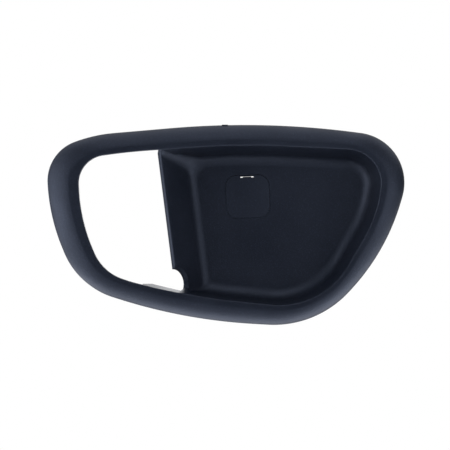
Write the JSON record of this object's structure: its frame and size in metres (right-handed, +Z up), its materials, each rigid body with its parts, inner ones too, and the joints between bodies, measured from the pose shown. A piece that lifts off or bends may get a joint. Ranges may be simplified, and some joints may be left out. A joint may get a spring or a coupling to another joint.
{
  "type": "door handle trim cover",
  "caption": "Trim bezel round a car's inner door handle: hollow rim, handle opening and finger cup, with a snap-in cover over the fixing screw",
  "frame": {"origin": "axis of the fixing hole, where the back of the screw seat bears", "axes": "+X to the right of the face, along the bezel's length; +Y into the door, away from the person; +Z up"},
  "size_m": [0.1662, 0.0267, 0.0935],
  "materials": {
    "bezel_plastic": "dark navy-black moulded plastic with a fine even grain, satin on the rim's crest",
    "cover_plastic": "the same dark plastic as the bezel, finely grained"
  },
  "bodies": {
    "bezel": {"bezel": "bezel_plastic"},
    "screw_cover": {"screw_cover": "cover_plastic"}
  },
  "joints": [
    {"name": "screw_cover_pull", "type": "slide", "parent": "bezel", "child": "screw_cover", "axis": [0, -1, 0], "range_m": [0, 0.045]}
  ]
}
